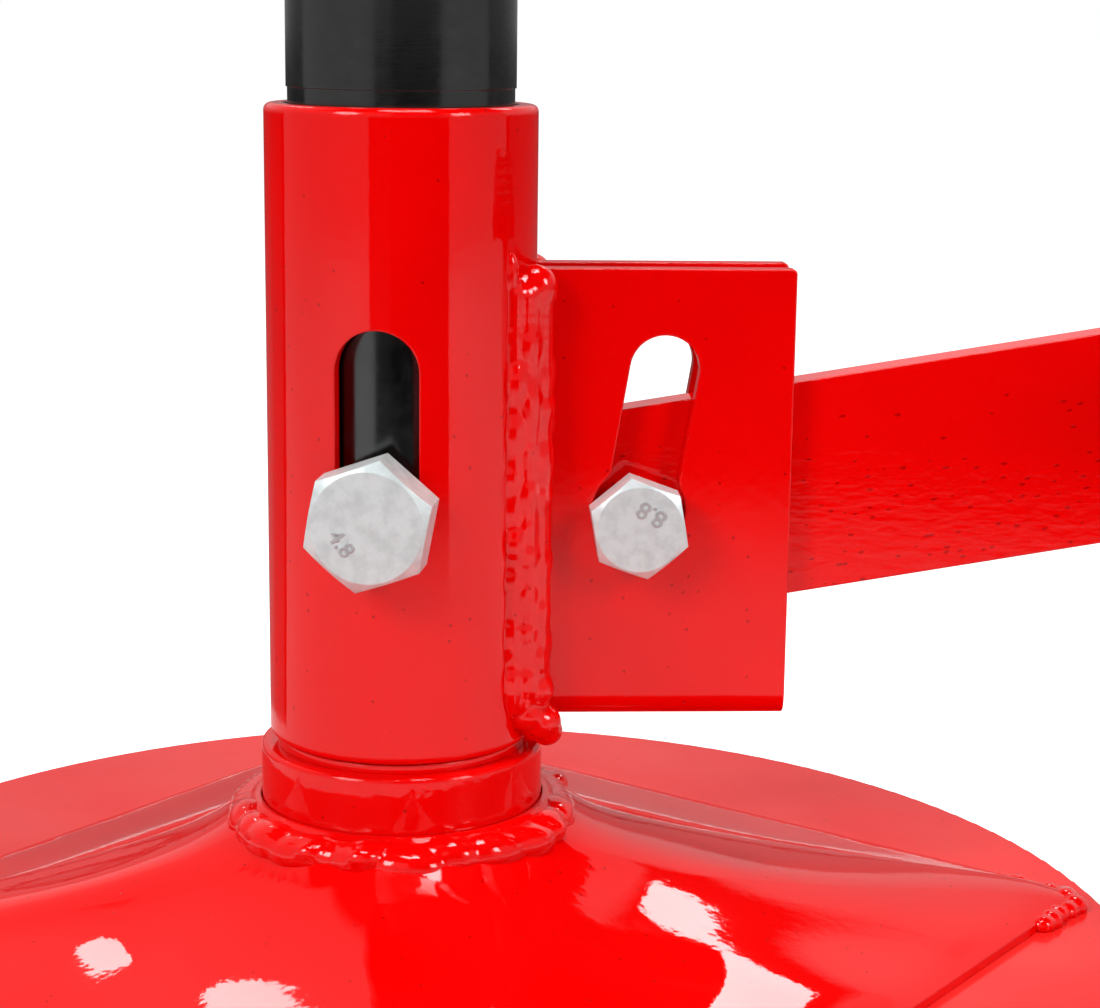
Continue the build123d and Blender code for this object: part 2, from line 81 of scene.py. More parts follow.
class NodeGraph:
    """Adds and joins nodes in one shader tree."""

    def __init__(self, tree: bpy.types.NodeTree) -> None:
        """Start on an emptied tree.

        Args:
            tree: the node tree to fill.
        """
        self.tree = tree
        tree.nodes.clear()

    def add(self, kind: str, inputs: dict | None = None, **settings: object) -> bpy.types.Node:
        """Add one node, set its options and fill its inputs.

        Args:
            kind: the node's Blender type name.
            inputs: input name or index to a value, or to the output socket that feeds it.
            **settings: plain attributes of the node.

        Returns:
            The new node.
        """
        node = self.tree.nodes.new(kind)
        for key, value in settings.items():
            setattr(node, key, value)
        for key, value in (inputs or {}).items():
            socket = node.inputs[key]
            if isinstance(value, Socket):
                self.tree.links.new(value, socket)
            else:
                socket.default_value = value
        return node

    def math(self, operation: str, first: Value, second: Value = 0.0) -> Socket:
        """Add a Math node.

        Args:
            operation: the node's operation.
            first: first value or socket.
            second: second value or socket.

        Returns:
            The result's socket.
        """
        return self.add("ShaderNodeMath", {0: first, 1: second}, operation=operation).outputs[0]

    def mix(self, factor: Value, first: Color | Socket, second: Color | Socket) -> Socket:
        """Add a colour Mix node.

        Args:
            factor: mixing value or socket.
            first: colour or socket at factor 0.
            second: colour or socket at factor 1.

        Returns:
            The mixed colour's socket.
        """
        values = {MIX_FACTOR: factor}
        for index, color in ((MIX_FIRST, first), (MIX_SECOND, second)):
            values[index] = color if isinstance(color, Socket) else (*color, 1.0)
        return self.add("ShaderNodeMix", values, data_type="RGBA").outputs[MIX_RESULT]

    def noise(self, vector: Socket, scale: Value, detail: float, rough: float = 0.5) -> Socket:
        """Add a Noise texture.

        Args:
            vector: coordinate socket.
            scale: pattern scale per metre, or its socket.
            detail: octaves.
            rough: roughness of the octaves.

        Returns:
            The value's socket.
        """
        values = {"Vector": vector, "Scale": scale, "Detail": detail, "Roughness": rough}
        return self.add("ShaderNodeTexNoise", values).outputs["Fac"]

    def ramp(self, value: Value, low: float, high: float) -> Socket:
        """Add a smooth step from low to high, which falls where low is the higher one.

        Args:
            value: input socket.
            low: value that gives 0.
            high: value that gives 1.

        Returns:
            The stepped value's socket.
        """
        values = {"Value": value, "From Min": low, "From Max": high}
        node = self.add("ShaderNodeMapRange", values, interpolation_type="SMOOTHSTEP")
        return node.outputs[0]

    def bump(self, height: Value, depth: float, normal: Socket, strength: float = 1.0) -> Socket:
        """Add a Bump node.

        Args:
            height: height socket.
            depth: depth in metres of a height of 1.
            normal: the normal that it starts from.
            strength: share of the effect.

        Returns:
            The normal's socket.
        """
        values = {"Height": height, "Distance": depth, "Normal": normal, "Strength": strength}
        return self.add("ShaderNodeBump", values).outputs[0]

    def rounded(self, radius: float) -> Socket:
        """Return the normal with the edges rounded by this radius in metres."""
        return self.add("ShaderNodeBevel", {"Radius": radius}, samples=BEVEL_SAMPLES).outputs[0]

    def stretch(self, vector: Socket, factors: Triple | Socket) -> Socket:
        """Multiply coordinates axis by axis.

        Args:
            vector: the coordinates.
            factors: one factor for each axis.

        Returns:
            The multiplied coordinates.
        """
        values = {0: vector, 1: factors}
        return self.add("ShaderNodeVectorMath", values, operation="MULTIPLY").outputs[0]

    def group(self, tree: bpy.types.NodeTree, values: dict) -> bpy.types.bpy_prop_collection:
        """Place a shared effect.

        Args:
            tree: its node group.
            values: input name to its value or socket.

        Returns:
            The effect's output sockets.
        """
        return self.add("ShaderNodeGroup", values, node_tree=tree).outputs

    def place(self) -> Socket:
        """Return the piece's own coordinates."""
        return self.add("ShaderNodeTexCoord").outputs["Object"]

    def facing(self) -> Socket:
        """Return the direction that the surface faces."""
        return self.add("ShaderNodeNewGeometry").outputs["Normal"]


def new_group(name: str, inputs: dict, outputs: dict) -> tuple[NodeGraph, dict, bpy.types.Node]:
    """Start a shader node group.

    Args:
        name: the group's name.
        inputs: socket name to its type.
        outputs: socket name to its type.

    Returns:
        The group's graph, its incoming sockets by name and its output node.
    """
    tree = bpy.data.node_groups.new(name, "ShaderNodeTree")
    for label, kind in inputs.items():
        tree.interface.new_socket(name=label, in_out="INPUT", socket_type=kind)
    for label, kind in outputs.items():
        tree.interface.new_socket(name=label, in_out="OUTPUT", socket_type=kind)
    graph = NodeGraph(tree)
    start = graph.add("NodeGroupInput")
    return graph, {label: start.outputs[label] for label in inputs}, graph.add("NodeGroupOutput")


@dataclass
class SharedEffects:
    """Effects that several finishes use, each built once as a node group."""

    wave_scale: float = 75.0
    wobble_scale: float = 1400.0
    wobble_middle: float = 0.5
    # Size, patches and lean of the veil on faces that look up, used for dust and for painted sheen.
    cloud_scale: float = 260.0
    dust_and_sheen_scale: float = 24.0
    dust_and_sheen_patches: Pair = (0.25, 0.8)
    dust_and_sheen_lean: Pair = (0.2, 0.95)

    def __post_init__(self) -> None:
        """Build the groups."""
        self.peel = self._peel()
        self.specks = self._specks()
        self.tool_marks = self._tool_marks()
        # This group gives the rubber its dust and the paint its dust with painted sheen.
        self.dust = self._dust_and_sheen()

    def _peel(self) -> bpy.types.NodeTree:
        """Return the orange peel of thick paint: soft dimples over slow waves."""
        inputs = {"Vector": VECTOR, "Scale": FLOAT, "Waves": FLOAT}
        graph, given, end = new_group("orange_peel", inputs, {"Height": FLOAT})
        dimples = graph.noise(given["Vector"], given["Scale"], 1.5, 0.45)
        waves = graph.noise(given["Vector"], self.wave_scale, 1.0, 0.3)
        swell = graph.math("MULTIPLY", waves, given["Waves"])
        graph.tree.links.new(graph.math("ADD", dimples, swell), end.inputs["Height"])
        return graph.tree

    def _specks(self) -> bpy.types.NodeTree:
        """Return small specks at a few of the cells of a fine grid, uneven in size."""
        inputs = {"Vector": VECTOR, "Scale": FLOAT, "Size": FLOAT, "Share": FLOAT}
        graph, given, end = new_group("specks", inputs, {"Mask": FLOAT})
        wobble = graph.noise(given["Vector"], self.wobble_scale, 1.0)
        values = {"Vector": given["Vector"], "Scale": given["Scale"]}
        cells = graph.add("ShaderNodeTexVoronoi", values)
        uneven = graph.math("ADD", wobble, self.wobble_middle)
        spread = graph.math("MULTIPLY", cells.outputs["Distance"], uneven)
        near = graph.math("LESS_THAN", spread, given["Size"])
        pick = graph.add("ShaderNodeSeparateColor", {0: cells.outputs["Color"]})
        chosen = graph.math("LESS_THAN", pick.outputs[0], given["Share"])
        graph.tree.links.new(graph.math("MULTIPLY", near, chosen), end.inputs["Mask"])
        return graph.tree

    def _tool_marks(self) -> bpy.types.NodeTree:
        """Return fine drawn marks and cloudy mottling of bare or plated metal."""
        inputs = {"Vector": VECTOR, "Scale": FLOAT, "Stretch": VECTOR}
        graph, given, end = new_group("tool_marks", inputs, {"Marks": FLOAT, "Clouds": FLOAT})
        drawn = graph.stretch(given["Vector"], given["Stretch"])
        marks = graph.noise(drawn, given["Scale"], 4.0, 0.65)
        clouds = graph.noise(given["Vector"], self.cloud_scale, 4.0, 0.6)
        graph.tree.links.new(marks, end.inputs["Marks"])
        graph.tree.links.new(clouds, end.inputs["Clouds"])
        return graph.tree

    def _dust_and_sheen(self) -> bpy.types.NodeTree:
        """Return a thin uneven veil on faces that look up, which is dust on the rubber and dust
        with painted sheen on the paint.
        """
        inputs = {"Vector": VECTOR, "Normal": VECTOR}
        graph, given, end = new_group("dust", inputs, {"Mask": FLOAT})
        upward = graph.add("ShaderNodeSeparateXYZ", {0: given["Normal"]}).outputs[2]
        patches = graph.noise(given["Vector"], self.dust_and_sheen_scale, 2.0, 0.4)
        cloud = graph.ramp(patches, *self.dust_and_sheen_patches)
        mask = graph.math("MULTIPLY", graph.ramp(upward, *self.dust_and_sheen_lean), cloud)
        graph.tree.links.new(mask, end.inputs["Mask"])
        return graph.tree


@dataclass(frozen=True)
class Swell:
    """A soft dome in pressed sheet: middle, half widths and height in mm, turn in degrees."""

    place: Pair
    widths: Pair
    turn: float
    height: float

    def add(self, graph: NodeGraph, place: Socket) -> Socket:
        """Add the dome's height over the piece's own coordinates.

        Args:
            graph: the material's graph.
            place: the coordinates.

        Returns:
            The height's socket, in metres.
        """
        values = {
            "Vector": place,
            "Location": (self.place[0] * MM, self.place[1] * MM, 0.0),
            "Rotation": (0.0, 0.0, math.radians(self.turn)),
            "Scale": (self.widths[0] * MM, self.widths[1] * MM, FLATTENED),
        }
        local = graph.add("ShaderNodeMapping", values, vector_type="TEXTURE").outputs[0]
        values = {0: local, 1: local}
        square = graph.add("ShaderNodeVectorMath", values, operation="DOT_PRODUCT").outputs["Value"]
        fall = graph.math("EXPONENT", graph.math("MULTIPLY", square, -1.0))
        return graph.math("MULTIPLY", fall, self.height * MM)


@dataclass(frozen=True)
class PaintFinish:
    """Thick gloss paint with orange peel, pinholes darkened with painted shade, rounded edges, and
    a pale veil on faces that look up that is partly dust and partly painted sheen.
    """

    name: str
    color: Color = (0.82, 0.0004, 0.0004)
    deep: Color = (0.74, 0.0002, 0.0003)
    # Pale colour of the veil on faces that look up: partly dust, partly painted sheen.
    dust_and_sheen_color: Color = (0.86, 0.12, 0.1)
    roughness: float = 0.24
    specular: float = 0.0
    coat: float = 0.72
    coat_roughness: float = 0.03
    peel_scale: float = 420.0
    peel_depth: float = 0.016 * MM
    peel_stretch: Triple = (1.0, 1.0, 1.0)
    waves: float = 1.6
    pit_scale: float = 300.0
    pit_size: float = 0.1
    pit_share: float = 0.35
    pit_depth: float = 0.12 * MM
    pit_strength: float = 0.6
    # How dark the painted shade in the pinholes is, and how much of each pinhole it covers.
    pit_shade_tone: float = 0.55
    pit_shade_cover: float = 0.8
    pit_turn: float = 0.0
    pit_stretch: Triple = (1.0, 1.0, 1.0)
    pit_fade: Pair = (1.0, 0.9)
    edge_round: float = 0.7 * MM
    drift_scale: float = 16.0
    drift_span: Pair = (0.35, 0.7)
    # Share of that pale veil in the colour: dust and painted sheen.
    dust_and_sheen: float = 0.008
    haze_dulls: float = 0.12
    swells: tuple[Swell, ...] = ()

    def build(self, effects: SharedEffects) -> bpy.types.Material:
        """Make the material.

        Args:
            effects: the shared node groups.

        Returns:
            The finished material.
        """
        material = bpy.data.materials.new(self.name)
        material.use_nodes = True
        graph = NodeGraph(material.node_tree)
        place = graph.place()
        drawn = graph.stretch(place, self.peel_stretch)
        values = {"Vector": drawn, "Scale": self.peel_scale, "Waves": self.waves}
        peel = graph.group(effects.peel, values)[0]
        pits = self._pits(graph, effects, place)
        edges = graph.rounded(self.edge_round)
        if self.swells:
            height = 0.0
            for swell in self.swells:
                height = graph.math("ADD", height, swell.add(graph, place))
            edges = graph.bump(height, 1.0, edges)
        skin = graph.bump(peel, self.peel_depth, edges)
        whole = graph.math("SUBTRACT", 1.0, pits)
        holes = graph.bump(whole, self.pit_depth, skin, self.pit_strength)
        drift = graph.ramp(graph.noise(place, self.drift_scale, 2.0), *self.drift_span)
        tone = graph.mix(drift, self.color, self.deep)
        # Painted shade: the pinholes are darkened towards the deep red, on top of their bump.
        pit_shade_color = tuple(self.pit_shade_tone * part for part in self.deep)
        tone = graph.mix(graph.math("MULTIPLY", pits, self.pit_shade_cover), tone, pit_shade_color)
        # Pale veil on faces that look up: partly dust, partly a painted sheen that stands in for
        # the pale reflection at grazing angles.
        veil = graph.group(effects.dust, {"Vector": place, "Normal": graph.facing()})[0]
        paled_on_top = graph.mix(graph.math("MULTIPLY", veil, self.dust_and_sheen), tone, self.dust_and_sheen_color)
        duller = graph.math("MULTIPLY", veil, self.haze_dulls)
        shader = graph.add(
            "ShaderNodeBsdfPrincipled",
            {
                "Base Color": paled_on_top,
                "Roughness": graph.math("ADD", duller, self.roughness),
                "Specular IOR Level": self.specular,
                "Normal": holes,
                "Coat Weight": self.coat,
                "Coat Roughness": self.coat_roughness,
                "Coat Normal": holes,
            },
        )
        graph.add("ShaderNodeOutputMaterial", {"Surface": shader.outputs[0]})
        return material

    def _pits(self, graph: NodeGraph, effects: SharedEffects, place: Socket) -> Socket:
        """Add the pinholes, which grow more numerous downwards where the finish says so.

        Args:
            graph: the material's graph.
            effects: the shared node groups.
            place: the piece's own coordinates.

        Returns:
            The mask's socket.
        """
        values = {"Vector": place, "Rotation": (0.0, self.pit_turn, 0.0)}
        turned = graph.add("ShaderNodeMapping", values).outputs[0]
        drawn = graph.stretch(turned, self.pit_stretch)
        height = graph.add("ShaderNodeSeparateXYZ", {0: turned}).outputs[2]
        share = graph.math("MULTIPLY", graph.ramp(height, *self.pit_fade), self.pit_share)
        values = {"Vector": drawn, "Scale": self.pit_scale, "Size": self.pit_size, "Share": share}
        return graph.group(effects.specks, values)[0]


@dataclass(frozen=True)
class MetalFinish:
    """Bare, plated or blackened metal with tool marks and mottling."""

    name: str
    color: Color
    dull: Color
    metallic: float = 1.0
    roughness: float = 0.28
    specular: float = 0.5
    mark_scale: float = 700.0
    stretch: Triple = (1.0, 1.0, 1.0)
    mark_depth: float = 0.02 * MM
    edge_round: float = 0.35 * MM
    worn_span: Pair = (0.38, 0.68)
    mottling: float = 0.2

    def build(self, effects: SharedEffects) -> bpy.types.Material:
        """Make the material.

        Args:
            effects: the shared node groups.

        Returns:
            The finished material.
        """
        material = bpy.data.materials.new(self.name)
        material.use_nodes = True
        graph = NodeGraph(material.node_tree)
        values = {"Vector": graph.place(), "Scale": self.mark_scale, "Stretch": self.stretch}
        marks = graph.group(effects.tool_marks, values)
        skin = graph.bump(marks["Marks"], self.mark_depth, graph.rounded(self.edge_round))
        worn = graph.ramp(marks["Clouds"], *self.worn_span)
        spread = graph.math("MULTIPLY", marks["Clouds"], self.mottling)
        shader = graph.add(
            "ShaderNodeBsdfPrincipled",
            {
                "Base Color": graph.mix(worn, self.color, self.dull),
                "Metallic": self.metallic,
                "Roughness": graph.math("ADD", spread, self.roughness - self.mottling / 2.0),
                "Specular IOR Level": self.specular,
                "Normal": skin,
            },
        )
        graph.add("ShaderNodeOutputMaterial", {"Surface": shader.outputs[0]})
        return material


@dataclass(frozen=True)
class RubberFinish:
    """Moulded rubber with a fine matt grain and dust on its faces that look up."""

    name: str = "rubber"
    color: Color = (0.022, 0.022, 0.023)
    dust: Color = (0.12, 0.115, 0.11)
    dust_cover: float = 0.6
    dust_dulls: float = 0.2
    roughness: float = 0.58
    grain_scale: float = 2600.0
    grain_depth: float = 0.03 * MM
    edge_round: float = 0.8 * MM

    def build(self, effects: SharedEffects) -> bpy.types.Material:
        """Make the material.

        Args:
            effects: the shared node groups.

        Returns:
            The finished material.
        """
        material = bpy.data.materials.new(self.name)
        material.use_nodes = True
        graph = NodeGraph(material.node_tree)
        place = graph.place()
        grain = graph.noise(place, self.grain_scale, 2.0, 0.6)
        skin = graph.bump(grain, self.grain_depth, graph.rounded(self.edge_round))
        veil = graph.group(effects.dust, {"Vector": place, "Normal": graph.facing()})[0]
        paled_on_top = graph.math("MULTIPLY", veil, self.dust_cover)
        duller = graph.math("MULTIPLY", paled_on_top, self.dust_dulls)
        shader = graph.add(
            "ShaderNodeBsdfPrincipled",
            {
                "Base Color": graph.mix(paled_on_top, self.color, self.dust),
                "Roughness": graph.math("ADD", duller, self.roughness),
                "Normal": skin,
            },
        )
        graph.add("ShaderNodeOutputMaterial", {"Surface": shader.outputs[0]})
        return material


GLOSS_RED = PaintFinish("gloss_red")
LEVER_RED = PaintFinish(
    "lever_red",
    peel_scale=620.0,
    peel_depth=0.04 * MM,
    peel_stretch=(0.4, 1.0, 1.0),
    waves=0.7,
    pit_scale=560.0,
    pit_size=0.17,
    pit_share=1.0,
    pit_turn=math.radians(9.0),
    pit_stretch=(0.45, 1.0, 1.0),
    pit_fade=(0.118, 0.076),
)
WELD_RED = PaintFinish(
    "weld_red",
    coat=0.9,
    peel_scale=200.0,
    peel_depth=0.3 * MM,
    waves=0.4,
    pit_share=0.03,
    edge_round=0.4 * MM,
)
SEAM_RED = PaintFinish(
    "seam_red",
    coat=0.9,
    peel_scale=170.0,
    peel_depth=0.22 * MM,
    peel_stretch=(1.0, 1.0, 0.35),
    waves=0.3,
    edge_round=0.4 * MM,
)
BRACE_RED = PaintFinish(
    "brace_red",
    swells=(
        Swell((86.5, -10.5), (34.7, 20.0), 14.9, 2.66),
        Swell((32.5, -46.4), (18.7, 15.2), -16.6, 0.94),
        Swell((28.6, -50.2), (11.7, 43.2), -17.3, 1.17),
        Swell((84.9, -44.6), (21.0, 28.2), 71.4, 2.01),
        Swell((-68.9, -13.9), (36.5, 9.6), 3.9, 1.95),
        Swell((-53.0, -43.7), (10.2, 23.0), 2.5, -0.8),
    ),
)
# The plate's strong pale veil on faces that look up is partly dust and partly painted sheen.
PLATE_RED = PaintFinish("plate_red", coat=0.6, coat_roughness=0.16, dust_and_sheen=0.2)
BLACK = MetalFinish(
    "black_coat",
    (0.0012, 0.0012, 0.0011),
    (0.0022, 0.0022, 0.002),
    metallic=0.0,
    roughness=0.17,
    specular=0.9,
    mark_scale=900.0,
    stretch=(0.5, 0.5, 2.2),
    mark_depth=0.006 * MM,
)
ZINC = MetalFinish("zinc_plate", (0.68, 0.745, 0.75), (0.56, 0.62, 0.625), 0.3, roughness=0.42)
# Darker zinc for the raised strength numbers: painted shade that makes them stand out from the
# head.
ZINC_PAINTED_SHADE = MetalFinish("zinc_marks_painted_shade", (0.5, 0.51, 0.52), (0.42, 0.43, 0.44), 0.5, roughness=0.4)
STEEL = MetalFinish("turned_steel", (0.46, 0.46, 0.47), (0.34, 0.34, 0.35), 0.85, roughness=0.4)
RUBBER = RubberFinish()
PAINTS = (GLOSS_RED, LEVER_RED, WELD_RED, SEAM_RED, BRACE_RED, PLATE_RED)
FINISHES = (*PAINTS, BLACK, ZINC, ZINC_PAINTED_SHADE, STEEL, RUBBER)
Looks = dict[PaintFinish | MetalFinish | RubberFinish, bpy.types.Material]


def pick_only(*objects: bpy.types.Object) -> None:
    """Select these objects alone, the last one active.

    Args:
        *objects: the objects to select.
    """
    bpy.ops.object.select_all(action="DESELECT")
    for item in objects:
        item.select_set(True)
    bpy.context.view_layer.objects.active = objects[-1]


def settle(item: bpy.types.Object, name: str) -> bpy.types.Object:
    """Name an object and put its place into its mesh.

    Args:
        item: the object.
        name: its new name.

    Returns:
        The same object.
    """
    pick_only(item)
    item.data.transform(item.matrix_world)
    item.matrix_world = Matrix.Identity(4)
    item.name = name
    item.data.name = name
    return item


def apply_modifier(item: bpy.types.Object, kind: str, **settings: object) -> None:
    """Add one modifier and apply it.

    Args:
        item: the object.
        kind: the modifier's Blender type name.
        **settings: plain attributes of the modifier.
    """
    pick_only(item)
    modifier = item.modifiers.new(kind.lower(), kind)
    for key, value in settings.items():
        setattr(modifier, key, value)
    bpy.ops.object.modifier_apply(modifier=modifier.name)


def paint(item: bpy.types.Object, material: bpy.types.Material) -> None:
    """Give an object one material.

    Args:
        item: the object.
        material: its material.
    """
    item.data.materials.clear()
    item.data.materials.append(material)


def finish_nodes(nodes: Nodes, names: tuple[str, ...], material: bpy.types.Material) -> None:
    """Give CAD nodes a material.

    Args:
        nodes: node name to object.
        names: the nodes to dress.
        material: their material.
    """
    for name in names:
        for slot in nodes[name].material_slots:
            slot.material = material
        log.info("%s: %s", name, material.name)


@dataclass(frozen=True)
class Drop:
    """One drop of weld metal: its centre, its radii and its turn about the vertical."""

    center: Vector
    radii: Triple
    turn: float = 0.0


@dataclass
class WeldMaker:
    """Builds lumpy beads from overlapping drops that are melted into one skin."""

    voxel: float = 0.5 * MM
    smoothing: int = 11
    smooth_share: float = 0.5

    def build(self, name: str, drops: list[Drop]) -> bpy.types.Object:
        """Melt the drops into one bead.

        Args:
            name: the bead's name.
            drops: the drops, overlapping their neighbours.

        Returns:
            The bead.
        """
        parts = []
        bpy.ops.object.select_all(action="DESELECT")
        for drop in drops:
            bpy.ops.mesh.primitive_ico_sphere_add(
                subdivisions=3,
                radius=1.0,
                location=drop.center,
                rotation=(0.0, 0.0, drop.turn),
                scale=drop.radii,
            )
            parts.append(bpy.context.active_object)
        pick_only(*parts)
        bpy.ops.object.join()
        bead = settle(bpy.context.active_object, name)
        apply_modifier(bead, "REMESH", mode="VOXEL", voxel_size=self.voxel)
        apply_modifier(bead, "SMOOTH", factor=self.smooth_share, iterations=self.smoothing)
        pick_only(bead)
        bpy.ops.object.shade_smooth()
        return bead

    def place(
        self, name: str, drops: list[Drop], body: Body, node: str, material: bpy.types.Material
    ) -> None:
        """Build a bead that stands for a CAD node.

        Args:
            name: the bead's name.
            drops: its drops.
            body: the body that it rides on.
            node: the node that it stands for.
            material: its material.
        """
        bead = self.build(name, drops)
        paint(bead, material)
        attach(bead, body.value)
        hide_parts(node)
        log.info("%s: %d drops, %d faces", name, len(drops), len(bead.data.polygons))


@dataclass
class Base:
    """Round base plate, pressed brace, collar and the welds between them.

    A pair is the least and the greatest of an uneven size, in millimetres, in radians for a
    pitch, and as a share of the size for a stretch.
    """

    ring_radius: float = 33.9 * MM
    ring_height: float = 33.1 * MM
    ring_core: float = 4.1 * MM
    core_pitch: float = 2.5 * MM
    lobe_out: Pair = (-0.4, 0.8)
    lobe_lift: Pair = (-0.4, 0.5)
    lobe_across: Pair = (4.2, 5.0)
    lobe_along: Pair = (6.5, 11.0)
    lobe_rise: Pair = (4.1, 4.8)
    lobe_lean: float = 0.3
    lobe_pitch: Pair = (0.2, 0.38)
    blob_share: float = 0.4
    blob_size: Pair = (1.6, 2.6)
    blob_out: Pair = (1.0, 3.0)
    blob_lift: Pair = (0.8, 2.4)
    blob_length: float = 1.5
    blob_flat: float = 0.9
    plate_center: float = 6.0 * MM
    plate_top: float = 4.0 * MM
    corner_half: float = 106.9 * MM
    corner_leg: float = 26.0 * MM
    corner_turn: float = math.radians(5.6)
    corner_pitch: float = 4.0 * MM
    corner_inset: float = 2.5 * MM
    corner_out: Pair = (-0.2, 0.9)
    corner_lift: Pair = (0.6, 1.5)
    corner_size: Pair = (2.5, 3.4)
    corner_stretch: Pair = (0.8, 1.2)
    corner_flat: float = 0.8
    corner_lean: float = 0.6
    seed: int = 4

    def dress(self, nodes: Nodes, looks: Looks, welder: WeldMaker) -> None:
        """Finish the nodes and lay the beads.

        Args:
            nodes: node name to object.
            looks: finish to its material.
            welder: builds the beads.
        """
        finish_nodes(nodes, ("base_disc",), looks[PLATE_RED])
        finish_nodes(nodes, ("base_brace",), looks[BRACE_RED])
        finish_nodes(nodes, ("collar", "bearing_washer"), looks[GLOSS_RED])
        material = looks[WELD_RED]
        welder.place("collar_bead", self.ring_drops(), Body.BASE, "collar_weld", material)
        welder.place("corner_beads", self.corner_drops(), Body.BASE, "brace_welds", material)

    def ring_drops(self) -> list[Drop]:
        """Return the drops of the bead round the collar: an even core under long lobes."""
        chance = random.Random(self.seed)
        drops = []
        count = round(math.tau * self.ring_radius / self.core_pitch)
        for step in range(count):
            angle = math.tau * step / count
            center = Vector((math.cos(angle), math.sin(angle), 0.0)) * self.ring_radius
            center.z = self.ring_height
            drops.append(Drop(center, (self.ring_core,) * 3))
        angle = 0.0
        while angle < math.tau:
            outward = Vector((math.cos(angle), math.sin(angle), 0.0))
            center = outward * (self.ring_radius + chance.uniform(*self.lobe_out) * MM)
            center.z = self.ring_height + chance.uniform(*self.lobe_lift) * MM
            across = chance.uniform(*self.lobe_across) * MM
            along = chance.uniform(*self.lobe_along) * MM
            rise = chance.uniform(*self.lobe_rise) * MM
            lean = angle + chance.uniform(-self.lobe_lean, self.lobe_lean)
            drops.append(Drop(center, (across, along, rise), lean))
            if chance.random() < self.blob_share:
                size = chance.uniform(*self.blob_size) * MM
                blob = center + outward * chance.uniform(*self.blob_out) * MM
                blob.z += chance.uniform(*self.blob_lift) * MM
                radii = (size, size * self.blob_length, size * self.blob_flat)
                drops.append(Drop(blob, radii, lean))
            angle += chance.uniform(*self.lobe_pitch)
        return drops

    def corner_drops(self) -> list[Drop]:
        """Return the drops of the stitch welds at the brace's corners."""
        chance = random.Random(self.seed + 1)
        drops = []
        for corner in range(4):
            turn = self.corner_turn - math.radians(45.0) + corner * math.radians(90.0)
            spin = Matrix.Rotation(turn, 3, "Z")
            for leg in (0, 1):
                for step in range(int(self.corner_leg / self.corner_pitch)):
                    inset = self.corner_inset if step == 0 else 0.0
                    along = self.corner_half - step * self.corner_pitch - inset
                    out = self.corner_half + chance.uniform(*self.corner_out) * MM - inset
                    flat = (out, along) if leg else (along, out)
                    height = self.plate_top + chance.uniform(*self.corner_lift) * MM
                    center = spin @ Vector((*flat, height))
                    center.x += self.plate_center
                    size = chance.uniform(*self.corner_size) * MM
                    across = size * chance.uniform(*self.corner_stretch)
                    lean = turn + chance.uniform(-self.corner_lean, self.corner_lean)
                    drops.append(Drop(center, (size, across, size * self.corner_flat), lean))
        return drops


@dataclass(frozen=True)
class HeadNumber:
    """Raised strength number on a bolt head."""

    text: str
    origin: Vector
    outward: Vector
    turn: float
    offset: Pair
    size: float
    rise: float = 0.1 * MM
    edge: float = 0.05 * MM
    boldness: float = 0.012

    def build(self, name: str) -> bpy.types.Object:
        """Model the number on the head's face.

        Args:
            name: the piece's name.

        Returns:
            The number.
        """
        bpy.ops.object.select_all(action="DESELECT")
        bpy.ops.object.text_add(location=(0.0, 0.0, 0.0))
        mark = bpy.context.active_object
        mark.data.body = self.text
        mark.data.size = self.size
        mark.data.extrude = self.rise
        mark.data.bevel_depth = self.edge
        mark.data.offset = self.boldness * self.size
        mark.data.align_x = "CENTER"
        mark.data.align_y = "CENTER"
        bpy.ops.object.convert(target="MESH")
        mark = bpy.context.active_object
        across = Vector((-self.outward.y, self.outward.x, 0.0))
        up = self.outward.cross(across)
        axes = Matrix((across, up, self.outward)).transposed().to_4x4()
        shift = Matrix.Translation((*self.offset, 0.0))
        turn = Matrix.Rotation(self.turn, 4, "Z")
        mark.matrix_world = Matrix.Translation(self.origin) @ axes @ shift @ turn
        return settle(mark, name)

    def place(self, name: str, body: Body, material: bpy.types.Material) -> None:
        """Build the number and let it ride.

        Args:
            name: the piece's name.
            body: the body that it rides on.
            material: its material.
        """
        mark = self.build(name)
        paint(mark, material)
        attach(mark, body.value)
        log.info("%s: %s", name, self.text)


